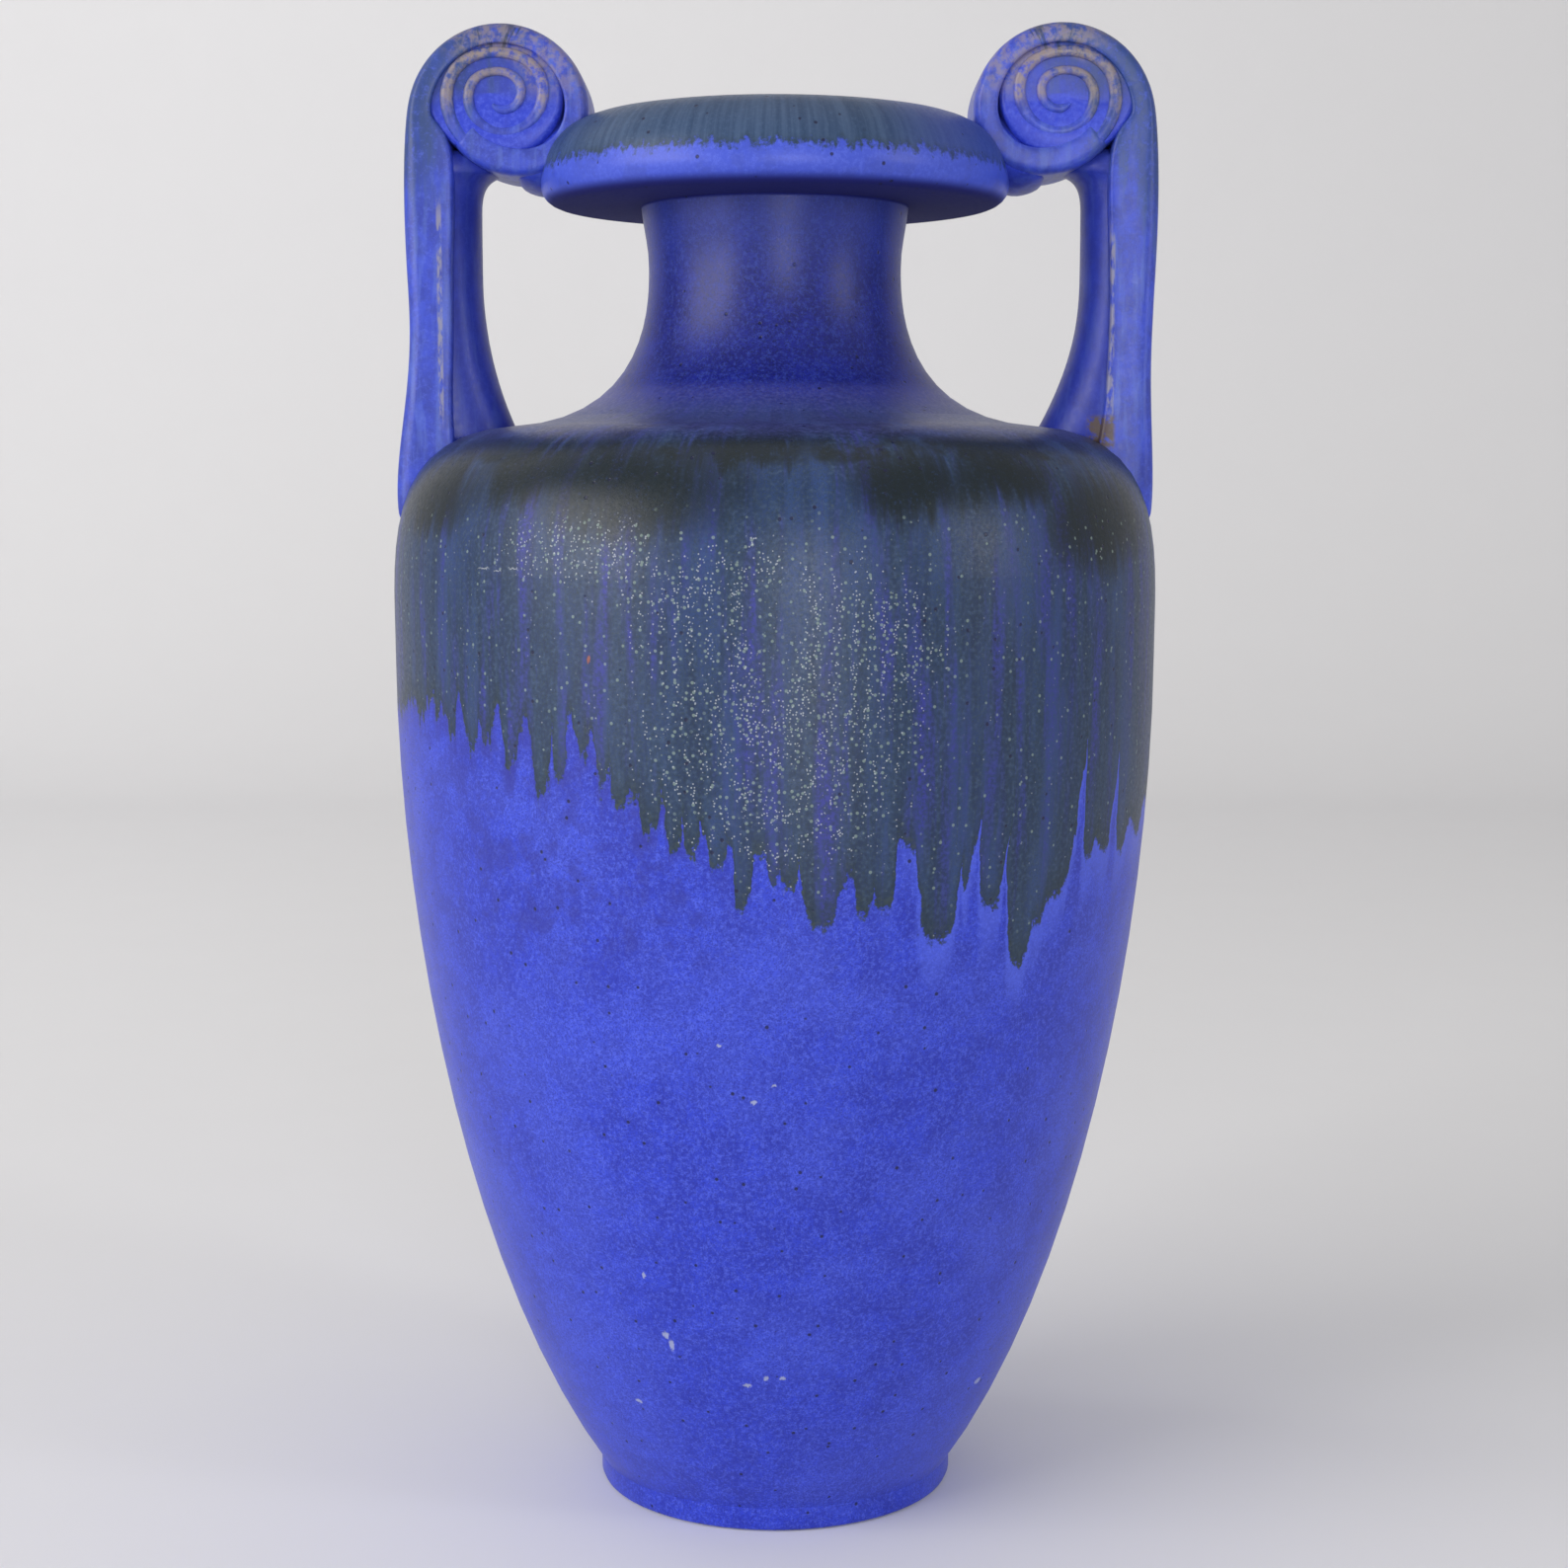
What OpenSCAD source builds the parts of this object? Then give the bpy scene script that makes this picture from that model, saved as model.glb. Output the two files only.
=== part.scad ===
// Thrown stoneware amphora with two scroll handles, in millimetres.
// The origin is the centre of the foot's resting plane. +Z is up, the handles lie along X
// and the front faces -Y. Every clay piece is drawn where it is luted to its neighbours.

/* [Foot] */
// Outer radius of the turned foot ring
foot_r = 44; // [42:0.5:46]
// Height of the foot ring
foot_h = 6; // [5:0.5:7]
// Radius of the hollow turned under the foot
foot_hollow_r = 35; // [32:0.5:37]
// Radius of the foot's worn lower edge
foot_edge_r = 1.5; // [1:0.25:2.5]

/* [Body] */
// Widest radius of the belly
belly_r = 92.5; // [90:0.5:95]
// Height at which the belly is widest
belly_z = 208; // [204:1:212]
// Radius at which the shoulder turns into the neck
shoulder_r = 64; // [62:0.5:66]
// Height at which the shoulder turns into the neck
shoulder_z = 262.3; // [261:0.1:263]
// Thickness of the thrown wall
wall = 6; // [5:0.5:7]
// Thickness of the floor
floor_t = 8; // [7:0.5:10]

/* [Neck and lip] */
// Narrowest outer radius of the neck
neck_r = 30.5; // [29.5:0.5:31.5]
// Height at which the neck is narrowest
neck_z = 300.3; // [298:0.1:302]
// Outer radius of the neck where it carries the lip
neck_top_r = 32.3; // [31.5:0.1:33]
// Height of the lip's flat underside
lip_z = 315; // [314:0.5:317]
// Outer radius of the lip
lip_r = 56.5; // [55.5:0.5:57]
// Radius of the lip's rounded lower edge
lip_edge_r = 5; // [2:0.5:6]
// Radius of the mouth's rim, the highest ring of the lip
rim_r = 38; // [36:0.5:40]
// Height of the mouth's rim
rim_z = 336; // [335:0.5:338]

/* [Handles] */
// Distance from the axis to a strap's outer edge at half height
strap_out_x = 88.8; // [88:0.1:90]
// Distance from the axis to a strap's inner face
strap_in_x = 77.8; // [77:0.1:79]
// Width of a strap, front to back
strap_w = 28; // [26:1:30]
// Height at which a strap's outer edge leaves the shoulder
strap_foot_z = 237; // [235:1:239]
// Distance from the axis to the centre of the rib's round nose
rib_x = 81.9; // [81:0.1:83]
// Radius of the rib's round nose
rib_r = 9.8; // [9:0.1:10.5]
// Width of a rib, front to back
rib_w = 24; // [20:1:25]

/* [Scrolls] */
// Distance from the axis to a scroll's eye
scroll_x = 66; // [65.5:0.1:66.5]
// Height of a scroll's eye
scroll_z = 340.2; // [340:0.1:341]
// Radius that the coil's middle line would have at the start of its first turn
scroll_r = 17.9; // [17.6:0.1:18.2]
// How far the coil closes in each turn
pitch = 5.2; // [5:0.1:5.4]
// Radius of the rolled strap's middle line where the strap enters the roll
roll_r = 20.6; // [20.3:0.1:20.9]
// How far the rolled strap closes in each turn
roll_pitch = 7.2; // [7:0.1:7.4]
// How far below the eye the roll's own centre lies
roll_drop = 5; // [4.5:0.1:5.5]
// Thickness of the rolled strap
roll_t = 6.1; // [5.8:0.1:6.4]
// Depth of the channel between the coils
channel = 1.5; // [1:0.1:2]
// Width of a raised coil
coil_w = 2.8; // [2.4:0.1:3.2]
// Turns of the raised coil inside the rolled strap
coil_turns = 1.7; // [1.2:0.1:1.7]
// Width of the pad that joins a scroll to the lip, front to back
pad_w = 22; // [18:1:24]

/* [Hidden] */

cobalt = [0.17, 0.22, 0.68];
deep_blue = [0.11, 0.13, 0.50];
slate = [0.20, 0.27, 0.36];
worn_blue = [0.33, 0.40, 0.66];
bare_buff = [0.62, 0.55, 0.47];

revolve_fn = 180;

// Steps along each curve of the outer skin
belly_steps = 16;
shoulder_steps = 14;
neck_steps = 14;
collar_steps = 4;
body_seam = belly_steps + 4;
neck_seam = belly_steps + shoulder_steps + 2;
skin_end = belly_steps + shoulder_steps + neck_steps + collar_steps;

// How high the neck's tongue stands in the lip
tongue_h = 4;
// Tallest point that a cutting solid has to pass
beyond = 40;

// A cubic curve from a to d in n steps, with handles b and c. first = 1 leaves out its start.
function curve(a, b, c, d, n, first = 0) = [
    for (i = [first : n])
        let (t = i / n, u = 1 - t)
        u * u * u * a + 3 * u * u * t * b + 3 * u * t * t * c + t * t * t * d
];

// A quarter or other part of a circle, from angle a to angle b in n steps
function arc(centre, r, a, b, n) = [
    for (i = [0 : n])
        let (w = a + (b - a) * i / n)
        centre + r * [cos(w), sin(w)]
];

function backwards(path) = [for (i = [len(path) - 1 : -1 : 0]) path[i]];

// The path moved to its left by d, which is into the wall on a path that climbs
function inset(path, d) = [
    for (i = [0 : len(path) - 1])
        let (a = path[max(i - 1, 0)], b = path[min(i + 1, len(path) - 1)], v = (b - a) / norm(b - a))
        path[i] + d * [-v.y, v.x]
];

function slice(path, a, b) = [for (i = [a : b]) path[i]];

// The outer skin from the foot to the underside of the lip, as [radius, height]
skin = concat(
    curve([foot_r, foot_h], [foot_r + 31.5, foot_h + 45], [belly_r, belly_z - 70],
          [belly_r, belly_z], belly_steps),
    curve([belly_r, belly_z], [belly_r, belly_z + 23], [shoulder_r + 32, shoulder_z - 2.1],
          [shoulder_r, shoulder_z], shoulder_steps, 1),
    curve([shoulder_r, shoulder_z], [neck_r, shoulder_z + 2.2], [neck_r, neck_z - 8],
          [neck_r, neck_z], neck_steps, 1),
    curve([neck_r, neck_z], [neck_r, neck_z + 5.5], [neck_top_r - 0.8, lip_z - 7],
          [neck_top_r, lip_z], collar_steps, 1)
);
middle = inset(skin, wall / 2);
lining = inset(skin, wall);

// The lip's outer face, from its flat underside round the edge and up to the rim
lip_face = concat(
    arc([lip_r - lip_edge_r, lip_z + lip_edge_r], lip_edge_r, -90, 0, 5),
    curve([lip_r, lip_z + lip_edge_r], [lip_r, lip_z + lip_edge_r + 3], [lip_r - 1.5, rim_z],
          [rim_r, rim_z], 14, 1)
);
throat_r = neck_top_r - wall;
tongue_r = neck_top_r - wall / 2;
// The mouth's inside, from the rim down to the throat
mouth_face = curve([rim_r, rim_z], [rim_r - 5, rim_z], [throat_r, rim_z - 5],
                   [throat_r, lip_z + tongue_h], 10, 1);

// Half laps: a piece's inner half runs one step further up the wall than its outer half
function lap_up(i) = [middle[i], middle[i + 1], lining[i + 1]];
function lap_down(i) = [lining[i + 1], middle[i + 1], middle[i]];

module revolve(outline) {
    rotate_extrude($fn = revolve_fn) polygon(outline);
}

// The clay bodies as if they were solid, for coping the handles to them
module body_envelope() {
    revolve(concat([[0, foot_h]], skin, [[0, lip_z]]));
}

module lip_envelope() {
    revolve(concat([[0, lip_z]], lip_face, [[0, rim_z]]));
}

module foot_ring() {
    edge_centre = [foot_r - foot_edge_r, foot_edge_r];
    color(cobalt) revolve(concat(
        arc(edge_centre, foot_edge_r, -90, 0, 6),
        [[foot_r, foot_h], [foot_hollow_r, foot_h]],
        [[foot_hollow_r, foot_edge_r], [foot_hollow_r + foot_edge_r, 0]]
    ));
}

module lower_body() {
    floor_z = foot_h + floor_t;
    lining_above_floor = [for (p = slice(lining, 0, body_seam)) if (p.y > floor_z + wall) p];
    corner = lining_above_floor[0] - [2 * wall, lining_above_floor[0].y - floor_z];
    color(cobalt) revolve(concat(
        [[0, foot_h]], slice(skin, 0, body_seam), lap_up(body_seam),
        backwards(lining_above_floor), [corner, [0, floor_z]]
    ));
}

module shoulder() {
    color(slate) revolve(concat(
        slice(skin, body_seam, neck_seam), lap_up(neck_seam),
        backwards(slice(lining, body_seam + 2, neck_seam)), lap_down(body_seam)
    ));
}

module neck() {
    color(deep_blue) revolve(concat(
        slice(skin, neck_seam, skin_end),
        [[tongue_r, lip_z], [tongue_r, lip_z + tongue_h], [throat_r, lip_z + tongue_h]],
        backwards(slice(lining, neck_seam + 2, skin_end - 1)), lap_down(neck_seam)
    ));
}

module lip() {
    color(slate) revolve(concat(
        [[tongue_r, lip_z + tongue_h], [tongue_r, lip_z], [neck_top_r, lip_z]],
        lip_face, mouth_face
    ));
}

// How far the roll has turned into the coil, t turns in: 0 on the strap, 1 in the coil
function curl(t) = let (u = min(max((t - 0.45) / 0.45, 0), 1)) u * u * (3 - 2 * u);

// A point of the scroll, t turns in from the strap's outer side and off the middle line by d.
// The roll's centre climbs to the eye as it tightens, and the coil is pressed flatter above
// its eye than below it.
function scroll_point(t, d) =
    let (
        w = 360 * t, s = curl(t),
        r = (roll_r - roll_pitch * t) * (1 - s) + (scroll_r - pitch * t) * s + d,
        press = 1 - 0.15 * s * max(sin(w), 0)
    )
    [scroll_x - 1 + s + r * cos(w), scroll_z - roll_drop * (1 - s) + r * sin(w) * press];

function scroll_line(a, b, d, n) = [for (i = [0 : n]) scroll_point(a + (b - a) * i / n, d)];

// The strap seen from the front: up from the shoulder, over the scroll and back to the rib
strap_outline = concat(
    [[strap_in_x, shoulder_z - 15]],
    curve([strap_out_x + 1.5, strap_foot_z], [strap_out_x + 4.4, strap_foot_z + 15],
          [strap_out_x - 1.4, strap_foot_z + 31], [strap_out_x, strap_foot_z + 55], 10),
    curve([strap_out_x, strap_foot_z + 55], [strap_out_x + 0.8, strap_foot_z + 69],
          [strap_out_x + 1.4, scroll_z - 18], scroll_point(0, roll_t / 2), 8, 1),
    scroll_line(1 / 48, 0.86, roll_t / 2, 40),
    [[strap_in_x, scroll_z - 12]]
);
core_outline = scroll_line(0, 1, -roll_t / 2, 48);

pad_outline = [
    [rim_r + 5.8, rim_z - 1.5], [rim_r + 7.4, rim_z + 2.5], [rim_r + 10.5, rim_z + 4],
    [lip_r - 5, rim_z + 1], [lip_r - 2, rim_z - 5], [lip_r + 0.5, lip_z + 11],
    [scroll_x - 6, lip_z + 7.6], [scroll_x - 4.5, lip_z + 5.9], [lip_r + 1.5, lip_z + 4.9],
    [lip_r - 2.5, lip_z + 1.4], [lip_r - 5, lip_z + 3]
];

// An outline in the XZ plane, given thickness w across Y
module slab(outline, w) {
    rotate([90, 0, 0]) linear_extrude(height = w, center = true) polygon(outline);
}

module strap() {
    difference() {
        slab(strap_outline, strap_w);
        slab(core_outline, strap_w + 2);
        slab(pad_outline, pad_w);
        body_envelope();
        lip_envelope();
    }
}

// The rib stands inside the strap: a round nose that flares out onto the shoulder
// and in under the scroll
module rib() {
    foot = shoulder_z - 12;
    flare = curve([rib_r + 9.6, shoulder_z - 2], [rib_r + 3.4, shoulder_z + 10],
                  [rib_r, shoulder_z + 22], [rib_r, shoulder_z + 36], 10);
    crown = scroll_z - 17.2;
    under_scroll = curve([rib_r, crown - 9.8], [rib_r, crown - 3.3],
                         [rib_r + 1.2, crown - 1.4], [rib_r + 6, crown], 6);
    difference() {
        intersection() {
            translate([rib_x, 0, 0]) revolve(concat(
                [[0, foot], [rib_r + 9.6, foot]], flare, under_scroll,
                [[rib_r + 6, crown + 6], [0, crown + 6]]
            ));
            translate([strap_in_x - beyond, -rib_w / 2, 0]) cube([beyond, rib_w, scroll_z]);
        }
        slab(strap_outline, strap_w);
        body_envelope();
    }
}

module scroll_core() {
    difference() {
        slab(core_outline, strap_w - 2 * channel);
        slab(pad_outline, pad_w);
    }
}

// One raised coil, from the strap's rolled end in to the eye, on the face at side
module coil(side) {
    outline = concat(
        scroll_line(1, 1 + coil_turns, coil_w / 2, 56),
        backwards(scroll_line(1, 1 + coil_turns, -coil_w / 2, 56))
    );
    translate([0, side * (strap_w - channel) / 2, 0]) slab(outline, channel);
}

// A wad of clay pressed in between the scroll and the lip, coped to the lip and let into the roll
module lip_pad() {
    difference() {
        slab(pad_outline, pad_w);
        lip_envelope();
    }
}

module left() {
    mirror([1, 0, 0]) children();
}

module left_strap() { color(cobalt) left() strap(); }
module left_rib() { color(deep_blue) left() rib(); }
module left_scroll_core() { color(deep_blue) left() scroll_core(); }
module left_front_coil() { color(bare_buff) left() coil(-1); }
module left_back_coil() { color(bare_buff) left() coil(1); }
module left_lip_pad() { color(worn_blue) left() lip_pad(); }
module right_strap() { color(cobalt) strap(); }
module right_rib() { color(deep_blue) rib(); }
module right_scroll_core() { color(deep_blue) scroll_core(); }
module right_front_coil() { color(bare_buff) coil(-1); }
module right_back_coil() { color(bare_buff) coil(1); }
module right_lip_pad() { color(worn_blue) lip_pad(); }

foot_ring();
lower_body();
shoulder();
neck();
lip();
left_strap();
left_rib();
left_scroll_core();
left_front_coil();
left_back_coil();
left_lip_pad();
right_strap();
right_rib();
right_scroll_core();
right_front_coil();
right_back_coil();
right_lip_pad();
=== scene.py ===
"""A thrown stoneware amphora with two scroll handles, dressed in a run cobalt and slate glaze.

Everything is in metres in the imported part's own frame: the origin is the centre of the foot's
resting plane, +Z is up, the handles lie along X and the front faces -Y. Sizes of the clay are
written in millimetres, as a potter writes them, and turned into metres where a piece is made.
"""

import math

import bmesh
import bpy
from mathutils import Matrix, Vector


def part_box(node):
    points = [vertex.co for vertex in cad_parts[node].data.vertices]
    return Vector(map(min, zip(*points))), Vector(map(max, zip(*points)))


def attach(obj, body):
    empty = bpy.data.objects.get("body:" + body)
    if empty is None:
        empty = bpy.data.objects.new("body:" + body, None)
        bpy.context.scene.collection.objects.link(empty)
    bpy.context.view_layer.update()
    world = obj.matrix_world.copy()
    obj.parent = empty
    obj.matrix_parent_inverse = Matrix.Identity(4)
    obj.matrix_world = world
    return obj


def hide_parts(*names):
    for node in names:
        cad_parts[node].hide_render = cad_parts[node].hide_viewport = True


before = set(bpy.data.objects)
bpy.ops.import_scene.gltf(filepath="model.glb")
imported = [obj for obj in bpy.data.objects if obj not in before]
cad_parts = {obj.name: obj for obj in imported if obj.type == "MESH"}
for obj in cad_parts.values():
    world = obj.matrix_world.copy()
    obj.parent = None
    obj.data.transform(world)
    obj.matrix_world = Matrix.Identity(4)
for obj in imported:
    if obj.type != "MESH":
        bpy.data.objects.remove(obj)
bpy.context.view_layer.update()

MM = 0.001

# ---------------------------------------------------------------------------
# Camera
# ---------------------------------------------------------------------------

CAMERA_PLACE = (0.0022, -0.6435, 0.2473)
CAMERA_TILT = math.radians(83.57)
CAMERA_LENS = 60.0
SENSOR_WIDTH = 36.0
NEAREST_SEEN = 0.01


def set_camera():
    """A long-lens look, level with the upper body and tipped a little down."""
    bpy.ops.object.select_all(action="DESELECT")
    bpy.ops.object.camera_add(location=CAMERA_PLACE, rotation=(CAMERA_TILT, 0, 0))
    camera = bpy.context.object
    camera.name = "camera"
    camera.data.lens = CAMERA_LENS
    camera.data.sensor_width = SENSOR_WIDTH
    camera.data.clip_start = NEAREST_SEEN
    bpy.context.scene.camera = camera


# ---------------------------------------------------------------------------
# Sizes of the clay, in millimetres
# ---------------------------------------------------------------------------


def node_box(node):
    """A node's lowest and highest corners in millimetres."""
    low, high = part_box(node)
    return low / MM, high / MM


foot_high = node_box("foot_ring")[1]
lip_low, lip_high = node_box("lip")

FOOT_R = foot_high.x
FOOT_H = foot_high.z
FOOT_HOLLOW_R = FOOT_R - 9.0
BELLY_R = 92.44
BELLY_Z = 208.0
SHOULDER_R = 64.0
SHOULDER_Z = 262.3
NECK_R = 30.5
NECK_Z = 300.3
NECK_TOP_R = 32.3
LIP_Z = lip_low.z
LIP_R = lip_high.x
LIP_EDGE_R = 5.0
RIM_R = 38.0
RIM_Z = lip_high.z
WALL = 6.0
FLOOR_Z = FOOT_H + 8.0
THROAT_R = NECK_TOP_R - WALL
TONGUE_H = 4.0

STRAP_HALF_WIDTH = 14.0
STRAP_IN_X = 77.8
STRAP_OUT_X = 88.8
STRAP_FOOT_Z = 237.0
RIB_R = 9.8
RIB_X = 81.9
SCROLL_X = 66.0
SCROLL_Z = 340.2
ROLL_R = 20.6
ROLL_PITCH = 7.2
ROLL_DROP = 5.0
COIL_R = 17.9
COIL_PITCH = 5.2
BAND_HALF = 3.05
CORE_FACE = 12.95

# ---------------------------------------------------------------------------
# Curves
# ---------------------------------------------------------------------------


def curve(a, b, c, d, steps, first=0):
    """Points on a cubic curve from a to d with handles b and c; first=1 leaves out its start."""
    points = []
    for i in range(first, steps + 1):
        t = i / steps
        u = 1 - t
        weights = (u * u * u, 3 * u * u * t, 3 * u * t * t, t * t * t)
        points.append(tuple(sum(w * p[k] for w, p in zip(weights, (a, b, c, d))) for k in (0, 1)))
    return points


def arc(centre, radius, start, end, steps):
    """Points on part of a circle, with its angles in degrees."""
    points = []
    for i in range(steps + 1):
        angle = math.radians(start + (end - start) * i / steps)
        points.append((centre[0] + radius * math.cos(angle), centre[1] + radius * math.sin(angle)))
    return points


def inset(path, depth):
    """The path moved to its left, which is into the wall on a path that climbs."""
    moved = []
    for i, point in enumerate(path):
        before = path[max(i - 1, 0)]
        after = path[min(i + 1, len(path) - 1)]
        run = (after[0] - before[0], after[1] - before[1])
        length = math.hypot(*run)
        moved.append((point[0] - depth * run[1] / length, point[1] + depth * run[0] / length))
    return moved


BELLY_STEPS = 16
SHOULDER_STEPS = 14
NECK_STEPS = 14
COLLAR_STEPS = 4
BODY_SEAM = BELLY_STEPS + 4
NECK_SEAM = BELLY_STEPS + SHOULDER_STEPS + 2

skin = (
    curve((FOOT_R, FOOT_H), (FOOT_R + 31.5, FOOT_H + 45), (BELLY_R, BELLY_Z - 70),
          (BELLY_R, BELLY_Z), BELLY_STEPS)
    + curve((BELLY_R, BELLY_Z), (BELLY_R, BELLY_Z + 23), (SHOULDER_R + 32, SHOULDER_Z - 2.1),
            (SHOULDER_R, SHOULDER_Z), SHOULDER_STEPS, 1)
    + curve((SHOULDER_R, SHOULDER_Z), (NECK_R, SHOULDER_Z + 2.2), (NECK_R, NECK_Z - 8),
            (NECK_R, NECK_Z), NECK_STEPS, 1)
    + curve((NECK_R, NECK_Z), (NECK_R, NECK_Z + 5.5), (NECK_R + 1, LIP_Z - 7),
            (NECK_TOP_R, LIP_Z), COLLAR_STEPS, 1)
)
lining = inset(skin, WALL)
middle = inset(skin, WALL / 2)


# ---------------------------------------------------------------------------
# Hand tools
# ---------------------------------------------------------------------------

# Sides of a thrown ring, and the angle in degrees above which its corners stay sharp
AROUND = 160
THROWN_CREASE = 40


def put_down():
    """Leaves edit mode and lets go of everything."""
    if bpy.context.object and bpy.context.object.mode != "OBJECT":
        bpy.ops.object.mode_set(mode="OBJECT")
    bpy.ops.object.select_all(action="DESELECT")


def take_up(name):
    """Names the new primitive, settles it at the origin and opens it for shaping."""
    piece = bpy.context.object
    piece.name = name
    piece.data.name = name
    bpy.ops.object.transform_apply(location=True, rotation=True, scale=True)
    bpy.ops.object.mode_set(mode="EDIT")
    bpy.ops.mesh.select_all(action="SELECT")
    return piece


def pick(piece, test, kind="VERT"):
    """Selects the corners, edges or faces whose middle, in millimetres, passes the test."""
    bpy.ops.mesh.select_mode(type=kind)
    bpy.ops.mesh.select_all(action="DESELECT")
    form = bmesh.from_edit_mesh(piece.data)
    parts = {"VERT": form.verts, "EDGE": form.edges, "FACE": form.faces}[kind]
    for part in parts:
        if kind == "VERT":
            place = part.co
        else:
            place = sum((v.co for v in part.verts), Vector()) / len(part.verts)
        if test(place / MM):
            part.select_set(True)
    form.select_flush_mode()
    bmesh.update_edit_mesh(piece.data)


def close_up(merge=0.01):
    """Merges doubles and turns every face outwards."""
    bpy.ops.mesh.select_mode(type="VERT")
    bpy.ops.mesh.select_all(action="SELECT")
    bpy.ops.mesh.remove_doubles(threshold=merge * MM)
    bpy.ops.mesh.normals_make_consistent(inside=False)


def fire(piece, angle):
    """Leaves edit mode and smooths the piece, keeping corners sharper than the angle."""
    bpy.ops.object.mode_set(mode="OBJECT")
    bpy.ops.object.select_all(action="DESELECT")
    piece.select_set(True)
    bpy.context.view_layer.objects.active = piece
    bpy.ops.object.shade_smooth_by_angle(angle=math.radians(angle))
    piece.select_set(False)
    return piece


def add_modifier(piece, kind, **settings):
    """Adds a modifier with its settings and applies it."""
    bpy.ops.object.select_all(action="DESELECT")
    piece.select_set(True)
    bpy.context.view_layer.objects.active = piece
    modifier = piece.modifiers.new(kind.lower(), kind)
    for key, value in settings.items():
        setattr(modifier, key, value)
    bpy.ops.object.modifier_apply(modifier=modifier.name)
    piece.select_set(False)


def refine(piece, levels):
    """Applies a subdivision surface."""
    add_modifier(piece, "SUBSURF", levels=levels, render_levels=levels)


def throw(name, profile):
    """A wheel-thrown piece: one ring drawn up, in and out along a closed profile.

    A profile that begins and ends on the axis is closed by a flat disc at each end.
    """
    put_down()
    flat_ends = profile[0][0] == 0
    path = profile[1:-1] if flat_ends else profile
    radius, height = path[0]
    bpy.ops.mesh.primitive_circle_add(
        vertices=AROUND, radius=radius * MM, location=(0, 0, height * MM),
        fill_type="NGON" if flat_ends else "NOTHING")
    piece = take_up(name)
    for next_radius, next_height in path[1:]:
        bpy.ops.mesh.extrude_region_move(
            TRANSFORM_OT_translate={"value": (0, 0, (next_height - height) * MM)})
        ratio = next_radius / radius
        bpy.ops.transform.resize(
            value=(ratio, ratio, 1), center_override=(0, 0, next_height * MM))
        radius, height = next_radius, next_height
    if not flat_ends:
        start_radius, start_height = profile[0]
        bpy.ops.mesh.extrude_region_move(
            TRANSFORM_OT_translate={"value": (0, 0, (start_height - height) * MM)})
        ratio = start_radius / radius
        bpy.ops.transform.resize(
            value=(ratio, ratio, 1), center_override=(0, 0, start_height * MM))
    close_up()
    return fire(piece, THROWN_CREASE)


def draw_out(stations):
    """Draws the selected end of a piece along stations of (x, z, lean, thickness).

    The lean is the angle, in degrees, by which the end is turned from level, anticlockwise
    as seen from the front. The thickness is a share of what it was at the start.
    """
    x, z, lean, thick = stations[0]
    for to_x, to_z, to_lean, to_thick in stations[1:]:
        bpy.ops.mesh.extrude_region_move(
            TRANSFORM_OT_translate={"value": ((to_x - x) * MM, 0, (to_z - z) * MM)})
        hub = (to_x * MM, 0, to_z * MM)
        turn_back = -math.radians(lean)
        bpy.ops.transform.rotate(value=turn_back, orient_axis="Y", center_override=hub)
        bpy.ops.transform.resize(
            value=(to_thick / thick, 1, 1), center_override=hub)
        bpy.ops.transform.rotate(
            value=math.radians(to_lean), orient_axis="Y", center_override=hub)
        x, z, lean, thick = to_x, to_z, to_lean, to_thick


# ---------------------------------------------------------------------------
# Glaze recipes
# ---------------------------------------------------------------------------


GLAZE_SPECULAR = 0.36


class Wash:
    """A value, colour or vector on its way through a glaze recipe."""

    def __init__(self, recipe, socket):
        self.recipe = recipe
        self.socket = socket

    def __add__(self, other):
        return self.recipe.sum_of("ADD", self, other)

    def __radd__(self, other):
        return self.recipe.sum_of("ADD", other, self)

    def __sub__(self, other):
        return self.recipe.sum_of("SUBTRACT", self, other)

    def __rsub__(self, other):
        return self.recipe.sum_of("SUBTRACT", other, self)

    def __mul__(self, other):
        return self.recipe.sum_of("MULTIPLY", self, other)

    def __rmul__(self, other):
        return self.recipe.sum_of("MULTIPLY", other, self)

    def __truediv__(self, other):
        return self.recipe.sum_of("DIVIDE", self, other)

    def __rtruediv__(self, other):
        return self.recipe.sum_of("DIVIDE", other, self)

    def __neg__(self):
        return self.recipe.sum_of("MULTIPLY", self, -1.0)


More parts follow.
